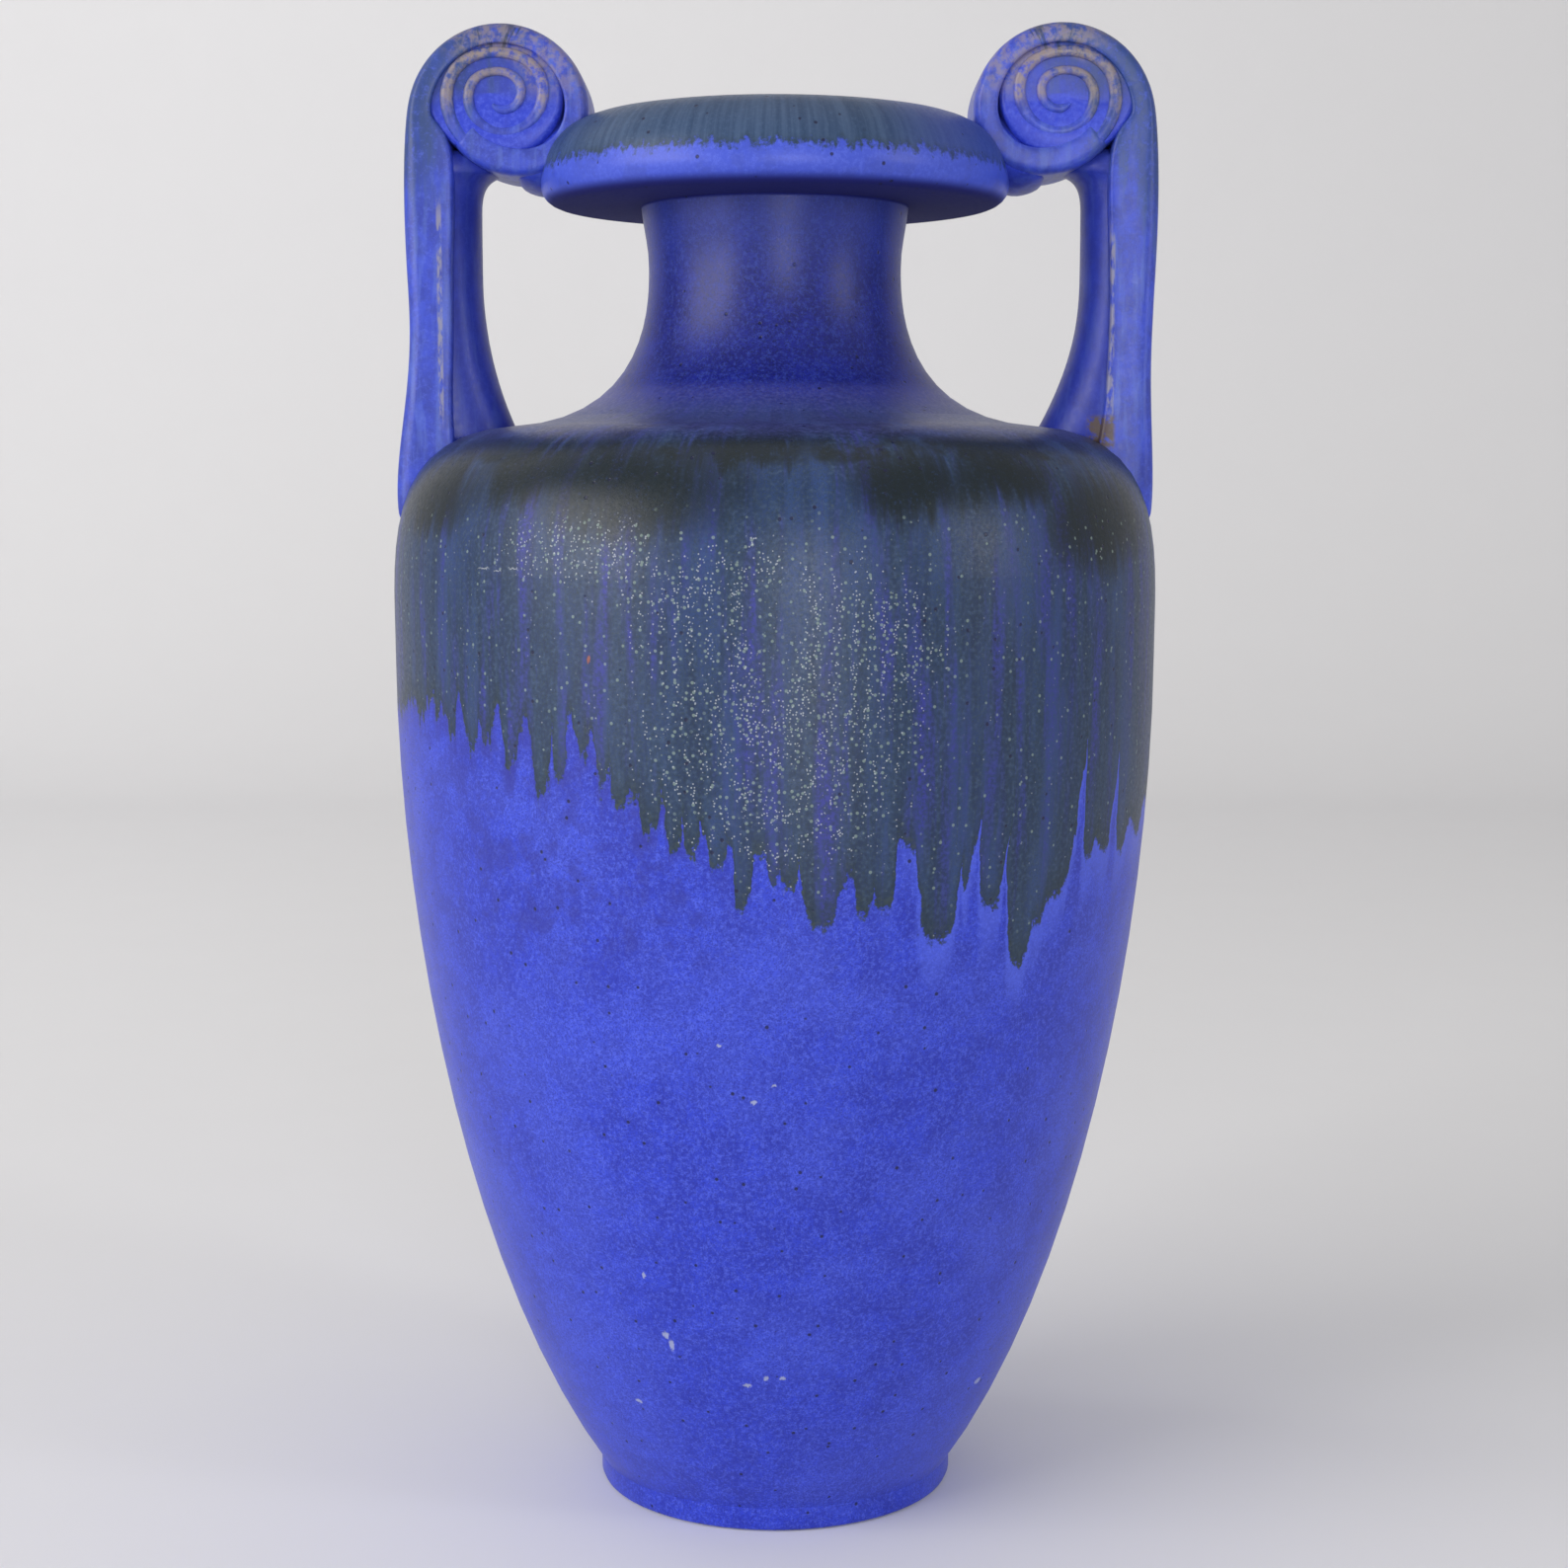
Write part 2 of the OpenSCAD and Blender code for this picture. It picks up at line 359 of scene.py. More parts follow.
class Recipe:
    """One glaze: a material and the nodes that are mixed into it."""

    def __init__(self, name):
        self.material = bpy.data.materials.new(name)
        self.material.use_nodes = True
        self.tree = self.material.node_tree
        self.tree.nodes.clear()
        output = self.tree.nodes.new("ShaderNodeOutputMaterial")
        self.shader = self.tree.nodes.new("ShaderNodeBsdfPrincipled")
        self.tree.links.new(self.shader.outputs["BSDF"], output.inputs["Surface"])

    def node(self, kind, settings=None, inputs=None, out=0):
        """Adds a node, sets it, feeds its sockets and gives back one of its outputs."""
        node = self.tree.nodes.new(kind)
        for key, value in (settings or {}).items():
            if key == "stops":
                self.set_stops(node.color_ramp, value)
            elif key == "interpolation":
                node.color_ramp.interpolation = value
            else:
                setattr(node, key, value)
        for key, value in (inputs or {}).items():
            self.feed(node.inputs[key], value)
        return Wash(self, node.outputs[out])

    @staticmethod
    def set_stops(ramp, stops):
        while len(ramp.elements) < len(stops):
            ramp.elements.new(1.0)
        for element, (place, shade) in zip(ramp.elements, stops):
            element.position = place
            element.color = shade if len(shade) == 4 else (*shade, 1.0)

    def feed(self, socket, value):
        if isinstance(value, Wash):
            self.tree.links.new(value.socket, socket)
        elif socket.type == "RGBA" and len(value) == 3:
            socket.default_value = (*value, 1.0)
        else:
            socket.default_value = value

    def sum_of(self, operation, a, b=0.0, clamp=False):
        return self.node(
            "ShaderNodeMath", {"operation": operation, "use_clamp": clamp}, {0: a, 1: b})

    def place(self):
        """The point on the object, in millimetres."""
        point = self.node("ShaderNodeTexCoord", out="Object")
        return self.node(
            "ShaderNodeVectorMath", {"operation": "SCALE"}, {0: point, "Scale": 1 / MM})

    def parts(self, vector):
        axes = self.node("ShaderNodeSeparateXYZ", inputs={0: vector})
        sockets = axes.socket.node.outputs
        return tuple(Wash(self, sockets[k]) for k in range(3))

    def join(self, x, y, z):
        return self.node("ShaderNodeCombineXYZ", inputs={0: x, 1: y, 2: z})

    def noise(self, vector, scale, detail, rough):
        """Cloudy noise from 0 to 1; a scale of 1 has lumps about a millimetre apart."""
        return self.node(
            "ShaderNodeTexNoise", {"noise_dimensions": "3D", "normalize": True},
            {"Vector": vector, "Scale": scale, "Detail": detail, "Roughness": rough})

    def cells(self, vector, scale, out="Distance"):
        """Scattered cells: the distance to, or the colour of, the nearest seed."""
        return self.node(
            "ShaderNodeTexVoronoi", {"feature": "F1"},
            {"Vector": vector, "Scale": scale}, out=out)

    def rise(self, value, low, high):
        """Climbs smoothly from 0 to 1 as the value goes from low to high."""
        return self.node(
            "ShaderNodeMapRange", {"interpolation_type": "SMOOTHSTEP"},
            {"Value": value, "From Min": low, "From Max": high})

    def between(self, value, low, high, soft):
        """1 between low and high, with soft shoulders."""
        return self.rise(value, low - soft, low) * self.rise(value, high + soft, high)

    def ramp(self, value, stops):
        """Looks a value up between stops, easing from each stop to the next."""
        return self.node(
            "ShaderNodeValToRGB", {"interpolation": "EASE", "stops": stops}, {0: value})

    def mix(self, share, under, over):
        """Lays one colour over another."""
        return self.node(
            "ShaderNodeMix", {"data_type": "RGBA", "blend_type": "MIX"},
            {0: share, 6: under, 7: over}, out=2)

    def bump(self, height, strength, distance):
        """Relief whose full height is the distance, in millimetres."""
        return self.node(
            "ShaderNodeBump",
            inputs={"Strength": strength, "Distance": distance * MM, "Height": height})

    def finish(self, colour, rough, normal, specular=GLAZE_SPECULAR):
        """Feeds the shader and gives back the finished material."""
        self.feed(self.shader.inputs["Base Color"], colour)
        self.feed(self.shader.inputs["Roughness"], rough)
        self.feed(self.shader.inputs["Normal"], normal)
        self.shader.inputs["Specular IOR Level"].default_value = specular
        return self.material


# Colours of the glaze, linear
COBALT = (0.024, 0.048, 0.545)
COBALT_DEEP = (0.014, 0.022, 0.300)
COBALT_PALE = (0.080, 0.125, 0.720)
DUSK = (0.022, 0.026, 0.260)
LILAC = (0.120, 0.130, 0.420)
VIOLET = (0.030, 0.036, 0.270)
SLATE = (0.010, 0.024, 0.070)
SLATE_MID = (0.022, 0.050, 0.115)
SLATE_PALE = (0.070, 0.118, 0.220)
SLATE_BLUE = (0.028, 0.062, 0.200)
SLATE_GREEN = (0.010, 0.024, 0.034)
GREEN_BLACK = (0.005, 0.011, 0.013)
OLIVE = (0.050, 0.066, 0.045)
CRYSTAL = (0.260, 0.350, 0.310)
FROST = (0.480, 0.520, 0.560)
RUST = (0.300, 0.090, 0.040)
INK = (0.006, 0.008, 0.040)
# Painted shade for the lip's underside, not a glaze colour
LIP_UNDERSIDE_PAINTED_SHADE = (0.004, 0.005, 0.120)
NECK_DEEP = (0.009, 0.013, 0.170)
NECK_BLUE = (0.014, 0.024, 0.290)
NECK_PALE = (0.034, 0.062, 0.360)
BUFF = (0.300, 0.240, 0.195)
STRAP_PALE = (0.105, 0.165, 0.560)
WORN_PALE = (0.300, 0.290, 0.330)
IRON = (0.110, 0.075, 0.035)

# The lower edge of the slate glaze round the front: degrees from the front towards +X, and
# millimetres above the table. Low points are the ends of runs; high ones are bare blue slits.
RUN_EDGE = (
    ((-90, 197), (-82, 195), (-71, 195), (-66, 199), (-62, 195), (-58, 200.9), (-56, 194),
     (-54.6, 197.9), (-51.9, 191.3), (-49.9, 198.9), (-47.4, 188.9), (-45.7, 196.6),
     (-45, 193)),
    ((-45, 193), (-43.6, 191.8), (-40.3, 198.2), (-39, 186.2), (-36, 198.6), (-34.8, 188),
     (-33.6, 181.1), (-31.7, 196.1), (-30.5, 184.6), (-28.3, 198.5), (-27.3, 188.3),
     (-25.6, 193.4), (-24, 183.7), (-23.3, 189.7), (-21.3, 177.9), (-19, 183),
     (-16.8, 173.2), (-15.4, 180.8), (-13.6, 172), (-12.2, 179.9), (-11.2, 169.1),
     (-10.7, 190), (-9.9, 175), (-7.8, 167.1), (-6.5, 174.1), (-5.2, 168), (-4.2, 156.9),
     (-3.3, 168), (-1.4, 169.3), (0, 162)),
    ((0, 162), (1.2, 167), (2, 161.9), (2.6, 172.1), (4.4, 165), (5.4, 155), (6.9, 153),
     (8.4, 160), (10.6, 164.4), (12.4, 155.5), (13.8, 161), (15.4, 156.8), (16, 168),
     (17.2, 171.5), (20, 169), (21.4, 158), (22.4, 149.6), (24, 149), (25, 160),
     (26.3, 169.3), (27.7, 160), (29, 170), (29.8, 182.5), (30.6, 165), (31.6, 155),
     (33.2, 175), (35.3, 180.4), (36.2, 152), (37, 142.6), (38.9, 142), (39.7, 155),
     (45, 157)),
    ((45, 157), (46.6, 160), (48, 170), (49.2, 185), (50.4, 197.7), (51.4, 180),
     (52.2, 163.8), (54, 168), (56.5, 165), (58, 172), (60.4, 194.3), (61.4, 176),
     (62.4, 163.1), (66, 170), (71, 166), (76, 174), (82, 170), (90, 178)),
)
EDGE_LOW = 130.0
EDGE_HIGH = 210.0
# Blunt ends of the fullest runs: degrees from the front, height of the end, half width in degrees
DRIPS = (
    (-47.2, 189.5, 1.0), (-39, 186.6, 1.1), (-33.4, 181.5, 1.1), (-30.4, 184.8, 0.9),
    (-23.9, 183.9, 0.9), (-21.2, 178.3, 1.1), (-16.8, 173.4, 1.2), (-13.5, 172.4, 1.1),
    (-11.2, 169.4, 0.9), (-7.8, 167.4, 1.3), (-4.2, 157.4, 0.9), (2.0, 162.2, 1.1),
    (6.4, 153.4, 1.9), (12.4, 155.8, 1.1), (15.2, 157.0, 1.2), (23.4, 149.6, 2.2),
    (32.0, 155.6, 1.5), (37.8, 142.6, 1.8), (40.6, 150.4, 1.5), (52.2, 164.0, 1.3),
    (56.6, 165.4, 1.4), (62.4, 163.6, 1.6), (71, 166.5, 2.0), (82, 170.5, 2.0),
)


def run_edge(r, degrees):
    """How high the slate glaze's lower edge stands, all round the pot."""
    height = 0.0
    for piece_of_edge in RUN_EDGE:
        start, first = piece_of_edge[0]
        end = piece_of_edge[-1][0]
        share = r.sum_of("MULTIPLY", degrees - start, 1 / (end - start), clamp=True)
        stops = []
        for angle, level in piece_of_edge:
            grey = (level - EDGE_LOW) / (EDGE_HIGH - EDGE_LOW)
            stops.append(((angle - start) / (end - start), (grey, grey, grey)))
        level = r.ramp(share, stops) * (EDGE_HIGH - EDGE_LOW)
        height = height + level
        if piece_of_edge is not RUN_EDGE[0]:
            height = height - (first - EDGE_LOW)
    height = height + EDGE_LOW
    for angle, end, half in DRIPS:
        across = (degrees - angle) / half
        across = across * across
        height = r.sum_of("MINIMUM", height, across * across * 2.4 + end)
    return height


def pot_coordinates(r):
    """Place, height, degrees from the front, and a round x and y that leave streaks no seam."""
    place = r.place()
    x, y, z = r.parts(place)
    radius = r.sum_of("SQRT", x * x + y * y + 1.0)
    round_x = x / radius * BELLY_R
    round_y = y / radius * BELLY_R
    degrees = r.sum_of("ARCTAN2", x, -y) * (180 / math.pi)
    return place, z, degrees, round_x, round_y


# Green-black pools on the shoulder: degrees from the front, height, half width, half height
DARK_POOLS = (
    (-20, 248, 15, 11), (-37, 252, 11, 8), (-60, 247, 13, 9), (21, 250, 9, 8), (36, 250, 9, 7),
    (55, 240, 13, 10), (-4, 256, 10, 4.5),
)
# Clouds of pale crystals, in the same terms
CRYSTAL_CLOUDS = ((1, 196, 16, 30), (-7, 226, 11, 10), (-27, 234, 13, 7), (12, 214, 10, 18))
# Small chips that show white clay
CHIPS = (
    (-21.5, 55, 0.7, 0.9), (-20.6, 52.5, 0.5, 1.3), (-5.6, 43, 0.9, 0.5), (-1.7, 45, 0.5, 0.5),
    (1.7, 45, 0.6, 0.5), (55, 34, 1.2, 0.8), (-24, 70, 0.4, 0.7), (-3, 114, 0.5, 0.5),
    (0, 118, 0.3, 0.4), (-8, 127, 0.4, 0.4), (-32, 35, 0.9, 0.5), (-44, 230, 1.2, 0.18),
    (-41, 229.6, 0.7, 0.18), (-38, 230.2, 0.9, 0.18),
)
FLECK = (-25.5, 211, 0.25, 0.9)


def blot(r, degrees, z, spot, soft=0.55):
    """A soft-edged oval on the pot."""
    angle, height, wide, tall = spot
    across = (degrees - angle) / wide
    up = (z - height) / tall
    return r.rise(across * across + up * up, 1 + soft, 1 - soft)


def all_blots(r, degrees, z, spots, soft=0.55):
    total = 0.0
    for spot in spots:
        total = r.sum_of("MAXIMUM", total, blot(r, degrees, z, spot, soft))
    return total


def thrown_glaze(name):
    """The whole run of glazes on the thrown clay, from the foot to the mouth."""
    r = Recipe(name)
    place, z, degrees, round_x, round_y = pot_coordinates(r)
    streak = r.join(round_x, round_y, z * 0.07)
    fine_streak = r.join(round_x, round_y, z * 0.14)

    # Cobalt over the whole pot, clouded and grained
    cloud = r.noise(place, 0.030, 3, 0.55)
    mottle = r.noise(place, 0.15, 4, 0.62)
    grain = r.noise(place, 1.05, 3, 0.7)
    dust = r.noise(place, 2.3, 2, 0.6)
    blue = r.mix(0.42 + r.rise(mottle, 0.38, 0.64) * 0.58, COBALT_DEEP, COBALT)
    blue = r.mix(r.rise(grain, 0.42, 0.66) * 0.58, blue, COBALT_PALE)
    blue = r.mix(r.rise(cloud, 0.44, 0.66) * 0.26, blue, COBALT_PALE)
    blue = r.mix(r.rise(dust, 0.46, 0.64) * 0.66, blue, COBALT_DEEP)
    dusk = r.rise(r.noise(place, 0.13, 4, 0.62), 0.44, 0.62) * r.between(z, 152, 188, 16)
    blue = r.mix(dusk * r.between(degrees, -48, -14, 14) * 0.55, blue, DUSK)

    # The slate glaze's edge
    wander = (r.noise(r.join(round_x, round_y, z * 0.6), 0.10, 2, 0.5) - 0.5) * 2.4
    bent = degrees + wander
    # Behind the handles the pot shows the front's runs the other way about
    away = r.sum_of("ABSOLUTE", bent)
    folded = away - r.sum_of("MAXIMUM", away - 90, 0.0) * 2
    side = r.sum_of("SIGN", bent)
    edge = run_edge(r, folded * side)
    hair = r.noise(fine_streak, 0.60, 2, 0.5)
    lock = r.noise(streak, 0.26, 2, 0.5)
    crumble = r.noise(place, 0.85, 3, 0.7)
    fringe = 0.22 + r.rise(degrees, 2, -16) * 0.78
    edge = edge + (hair - 0.5) * fringe * 15 + (lock - 0.5) * fringe * 6
    over = z - edge + (crumble - 0.5) * 8.5
    band = r.rise(over, -0.8, 1.0)

    # The slate glaze itself: streaks, fine speckle and violet windows
    streaks = r.noise(streak, 0.40, 4, 0.6)
    speck = r.noise(place, 1.15, 4, 0.75)
    slate = r.mix(0.2 + r.rise(streaks, 0.34, 0.68) * 0.6, SLATE, SLATE_MID)
    slate = r.mix(r.rise(speck, 0.46, 0.66) * 0.62, slate, SLATE_PALE)
    slate = r.mix(r.rise(dust, 0.46, 0.66) * 0.62, slate, SLATE_GREEN)
    violet = r.noise(r.join(round_x, round_y, z * 0.09), 0.17, 4, 0.68)
    violet_share = r.rise(violet, 0.46, 0.66) * (0.18 + r.rise(speck, 0.40, 0.58) * 0.72)
    slate = r.mix(violet_share, slate, VIOLET)
    teal = r.noise(r.join(round_x, round_y, z * 0.12), 0.12, 3, 0.6)
    slate = r.mix(r.rise(teal, 0.46, 0.68) * (0.25 + r.rise(speck, 0.56, 0.42) * 0.5),
                  slate, SLATE_BLUE)
    # Partly painted shade: the band is darkened and greened towards the right, the side away from the
    # window light, over its own variation
    slate = r.mix(r.rise(degrees, 18, 80) * 0.15, slate, SLATE_GREEN)

    # Green-black pools round the shoulder
    sway = r.noise(r.join(round_x, round_y, z * 0.3), 0.05, 3, 0.6) - 0.5
    pool_degrees = folded * side + sway * 16 + (streaks - 0.5) * 5
    pool_z = z + sway * 12 + (streaks - 0.5) * 18
    pool_share = all_blots(r, pool_degrees, pool_z, DARK_POOLS, 0.90) * 0.93
    collar = r.between(z, 254, 261.5, 2.5) * r.rise(r.noise(place, 0.10, 3, 0.6), 0.36, 0.58)
    pool_share = r.sum_of("MAXIMUM", pool_share, collar * 0.90)
    slate = r.mix(pool_share, slate, GREEN_BLACK)
    slate = r.mix(pool_share * r.rise(speck, 0.56, 0.72) * 0.4, slate, SLATE_BLUE)

    # Ends of the runs: darker and greener; a paler halo lies under them
    rim = r.rise(over, 9, 0) * r.rise(over, -1, 1)
    slate = r.mix(rim * 0.60, slate, SLATE_GREEN)
    slate = r.mix(rim * r.rise(crumble, 0.50, 0.66) * 0.55, slate, OLIVE)
    halo = r.rise(over, -14, -1) * (1 - band) * r.rise(degrees, 12, 24)
    blue = r.mix(halo * 0.55, blue, COBALT_PALE)
    shade = r.rise(over, -7, -1) * (1 - band) * r.rise(degrees, -4, -16)
    blue = r.mix(shade * 0.40, blue, DUSK)
    coat = r.mix(band, blue, slate)

    # Neck: thin slate over deep blue
    neck_share = r.rise(z, 262.5, 270)
    neck_blue = r.mix(r.rise(mottle, 0.34, 0.70) * 0.7, NECK_DEEP, NECK_BLUE)
    neck_blue = r.mix(r.rise(grain, 0.44, 0.68) * 0.60, neck_blue, NECK_PALE)
    neck_blue = r.mix(r.rise(dust, 0.48, 0.66) * 0.55, neck_blue, INK)
    neck_blue = r.mix(r.rise(z, 290, 315) * 0.35, neck_blue, NECK_PALE)
    coat = r.mix(neck_share, coat, neck_blue)
    skirt = r.between(z, 261, 269, 4) * (0.45 + r.rise(speck, 0.44, 0.66) * 0.55)
    coat = r.mix(skirt * 0.50, coat, LILAC)

    # Lip: blue below a ragged line, slate above it; the blue band carries a painted highlight and its
    # underside painted shade
    lip_share = r.rise(z, LIP_Z - 0.7, LIP_Z - 0.1)
    lip_blue = r.mix(r.rise(grain, 0.42, 0.70) * 0.55, COBALT, COBALT_PALE)
    lip_blue = r.mix(r.rise(mottle, 0.50, 0.64) * 0.40, lip_blue, COBALT_DEEP)
    # Painted highlight: the lip's blue band is made paler all round, standing in for the sheen on its
    # rounded edge
    lip_blue = r.mix(0.32, lip_blue, STRAP_PALE)
    # Painted shade: the lip's underside is darkened to near-black blue, standing in for the shade
    # under its overhang
    lip_underside_shade = r.rise(z, LIP_Z + 2.6, LIP_Z + 0.4)
    lip_blue = r.mix(lip_underside_shade * 0.94, lip_blue, LIP_UNDERSIDE_PAINTED_SHADE)
    lip_edge = 323.0 + (hair - 0.5) * 1.5 + (lock - 0.5) * 6
    lip_slate = r.mix(r.rise(streaks, 0.30, 0.74) * 0.6, SLATE_MID, SLATE_PALE)
    lip_slate = r.mix(r.rise(speck, 0.48, 0.70) * 0.35, lip_slate, SLATE_PALE)
    lip_slate = r.mix(r.rise(degrees, 22, 52) * 0.60, lip_slate, NECK_PALE)
    lip_slate = r.mix(r.rise(z - lip_edge, 2.6, 0) * 0.55, lip_slate, SLATE_GREEN)
    lip = r.mix(r.rise(z - lip_edge + (crumble - 0.5) * 7, -0.9, 1.3), lip_blue, lip_slate)
    coat = r.mix(lip_share, coat, lip)

    # Pale crystals in the slate glaze
    seeds = r.cells(place, 0.72)
    chance = r.parts(r.cells(place, 0.72, out="Color"))[0]
    crowd = all_blots(r, degrees + sway * 14, z + sway * 30, CRYSTAL_CLOUDS, 0.9)
    crowd = 0.12 + crowd * 0.88
    crystals = r.rise(seeds, 0.33, 0.20) * r.rise(chance + crowd * 0.62, 0.92, 0.98)
    crystals = crystals * r.rise(over, 3, 8) * r.rise(z, 246, 238)
    coat = r.mix(crystals * 0.50, coat, CRYSTAL)
    seed_dust = r.cells(place, 1.5)
    dust_chance = r.parts(r.cells(place, 1.5, out="Color"))[1]
    frost = r.rise(seed_dust, 0.36, 0.22) * r.rise(dust_chance + crowd * 0.50, 1.02, 1.08)
    frost = frost * band * r.rise(z, 246, 236)
    coat = r.mix(frost * 0.55, coat, FROST)

    # Pinholes, and chips down to the clay
    holes = r.cells(place, 0.28)
    hole_chance = r.parts(r.cells(place, 0.28, out="Color"))[1]
    holes = r.rise(holes, 0.15, 0.09) * r.rise(hole_chance, 0.60, 0.64)
    coat = r.mix(holes * 0.85, coat, INK)
    chips = all_blots(r, degrees + (crumble - 0.5) * 0.6, z + (grain - 0.5) * 2.2, CHIPS, 0.6)
    coat = r.mix(chips * 0.55, coat, FROST)
    coat = r.mix(blot(r, degrees + (grain - 0.5), z, FLECK, 0.5) * 0.8, coat, RUST)

    rough = 0.33 + r.rise(grain, 0.3, 0.7) * 0.12 - pool_share * 0.04
    rough = rough + lip_underside_shade * lip_share * 0.55
    relief = grain * 0.42 + dust * 0.30 + band * 0.5 - holes * 1.4 + crystals * 0.5 - chips * 1.2
    relief = relief + r.noise(place, 0.05, 2, 0.5) * 2.0
    normal = r.bump(relief, 0.55, 0.13)
    return r.finish(coat, rough, normal)


# A worn arris on each strap's front and back inner corner: from x, to x, from z, to z
LEFT_ARRIS = (79.2, 79.9, 268, 310)
RIGHT_ARRIS = (79.4, 80.5, 266, 304)


def along_arris(r, out, z, arris):
    """1 along a worn arris, fading out at its two ends."""
    from_x, to_x, from_z, to_z = arris
    return r.between(out, from_x, to_x, 0.5) * r.between(z, from_z, to_z, 8)


def handle_glaze(name, deep=0.0, worn=0.0, pooled=0.0):
    """Bright blue on the straps, slate towards the scrolls, rubbed pale on the arrises.

    deep darkens the whole piece, and on the rib, which faces the neck, this is painted shade;
    worn rubs the coils to buff, and pooled brightens the foot of each scroll's face.
    """
    r = Recipe(name)
    place = r.place()
    x, y, z = r.parts(place)
    mottle = r.noise(place, 0.20, 4, 0.62)
    grain = r.noise(place, 0.90, 3, 0.7)
    dust = r.noise(place, 2.3, 2, 0.6)
    streak = r.noise(r.join(x, y, z * 0.12), 0.42, 3, 0.6)
    out = r.sum_of("ABSOLUTE", x)
    front = r.sum_of("ABSOLUTE", y)
    blue = r.mix(r.rise(mottle, 0.36, 0.66), COBALT_DEEP, COBALT)
    blue = r.mix(r.rise(grain, 0.46, 0.72) * 0.45, blue, COBALT_PALE)
    blue = r.mix(0.24 + r.rise(streak, 0.46, 0.68) * 0.40, blue, STRAP_PALE)
    blue = r.mix(r.rise(dust, 0.56, 0.74) * 0.30, blue, COBALT_DEEP)

    # Slate glaze has run over the scroll and down the outer part of the strap
    high = r.rise(z + (streak - 0.5) * 46 + (out - 84) * 1.5, 306, 336)
    slate = r.mix(r.rise(streak, 0.38, 0.66), SLATE_BLUE, SLATE_MID)
    slate = r.mix(r.rise(grain, 0.50, 0.72) * 0.4, slate, COBALT_PALE)
    coat = r.mix(high * 0.78, blue, slate)
    # Painted shade: deep darkens the piece towards deep blue; on the rib this stands in for the shade
    # on faces turned to the neck
    coat = r.mix(deep, coat, NECK_BLUE)

    # Round the eye: how far out, and how much of the top faces up
    reach_x = out - (SCROLL_X + 1.2)
    reach_z = z - SCROLL_Z
    reach = r.sum_of("SQRT", reach_x * reach_x + reach_z * reach_z + 0.01)
    upward = reach_z / reach
    inward = -reach_x / reach
    rub = r.noise(place, 0.42, 4, 0.7)
    on_roll = r.rise(reach, 8.0, 10.0) * r.rise(z, 322, 328)
    tan = on_roll * r.rise(upward + inward * 0.45, 0.15, 0.85) * r.rise(rub, 0.38, 0.60)
    coat = r.mix(tan * 0.55, coat, BUFF)
    # Dark cracks stand out from the eye across the top of the roll
    turn = r.sum_of("ARCTAN2", reach_z, reach_x)
    cracks = r.noise(r.join(turn * 22, reach * 0.12, y * 0.3), 0.34, 3, 0.7)
    coat = r.mix(on_roll * r.rise(upward, 0.55, 0.95) * r.rise(cracks, 0.57, 0.66) * 0.6,
                 coat, SLATE_GREEN)
    if worn:
        ridge = r.rise(front, CORE_FACE - 0.4, CORE_FACE + 0.9) * r.rise(rub, 0.32, 0.60)
        ridge = ridge * r.rise(upward + 0.45 + (mottle - 0.5) * 1.6, -0.2, 0.5)
        coat = r.mix(ridge * worn, coat, BUFF)
    if pooled:
        pool = r.rise(upward + (mottle - 0.5) * 0.5, 0.25, -0.45) * r.rise(front, 11.5, 12.2)
        bright = r.mix(r.rise(grain, 0.40, 0.70) * 0.6, COBALT, COBALT_PALE)
        coat = r.mix(pool * pooled, coat, bright)

    # The arris rubbed pale, and a bare ochre notch at the foot of the right one
    on_left = r.rise(x, 1, -1)
    arris_left = along_arris(r, out, z, LEFT_ARRIS) * on_left
    arris_right = along_arris(r, out, z, RIGHT_ARRIS) * (1 - on_left)
    arris = (arris_left + arris_right) * r.rise(front, 11.8, 13.2)
    arris = arris * r.rise(r.noise(r.join(x, y, z * 0.35), 0.5, 3, 0.7), 0.42, 0.58)
    coat = r.mix(arris * 0.75, coat, WORN_PALE)
    notch = r.between(x, 75.5, 80.5, 1.2) * r.between(z, 258, 264, 1.5)
    notch = notch * r.rise(front, 7, 9) * r.rise(rub, 0.34, 0.5)
    coat = r.mix(notch * 0.9, coat, IRON)

    rough = 0.33 + r.rise(grain, 0.3, 0.7) * 0.12
    relief = grain * 0.35 + dust * 0.2 + r.noise(place, 0.09, 2, 0.5) * 1.8
    normal = r.bump(relief, 0.5, 0.13)
    return r.finish(coat, rough, normal)


# ---------------------------------------------------------------------------
# The thrown clay
# ---------------------------------------------------------------------------

glaze_body = thrown_glaze("cobalt_run_glaze")
glaze_strap = handle_glaze("strap_glaze")
# The rib's glaze is darkened as painted shade
glaze_rib = handle_glaze("rib_glaze", deep=0.55)
glaze_core = handle_glaze("scroll_glaze", deep=0.30, pooled=0.85)
glaze_coil = handle_glaze("coil_glaze", worn=0.72)


def lay_on(piece, glaze, node):
    """Glazes a piece, hangs it from the root body and hides the clay node it stands for."""
    piece.data.materials.clear()
    piece.data.materials.append(glaze)
    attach(piece, "root")
    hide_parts(node)


def lap_up(seam):
    """The half lap's inner tongue at the top of a piece."""
    return [middle[seam], middle[seam + 1], lining[seam + 1]]


def lap_down(seam):
    """The half lap's outer skirt at the foot of a piece, over the tongue below it."""
    return [lining[seam + 1], middle[seam + 1], middle[seam]]


foot_profile = [
    (FOOT_HOLLOW_R, FOOT_H), (FOOT_R, FOOT_H), (FOOT_R, 1.6), (FOOT_R - 0.5, 0.5),
    (FOOT_R - 1.6, 0.0), (FOOT_HOLLOW_R + 1.5, 0.0), (FOOT_HOLLOW_R + 0.4, 0.5),
    (FOOT_HOLLOW_R, 1.6),
]
foot = throw("turned_foot", foot_profile)
lay_on(foot, glaze_body, "foot_ring")

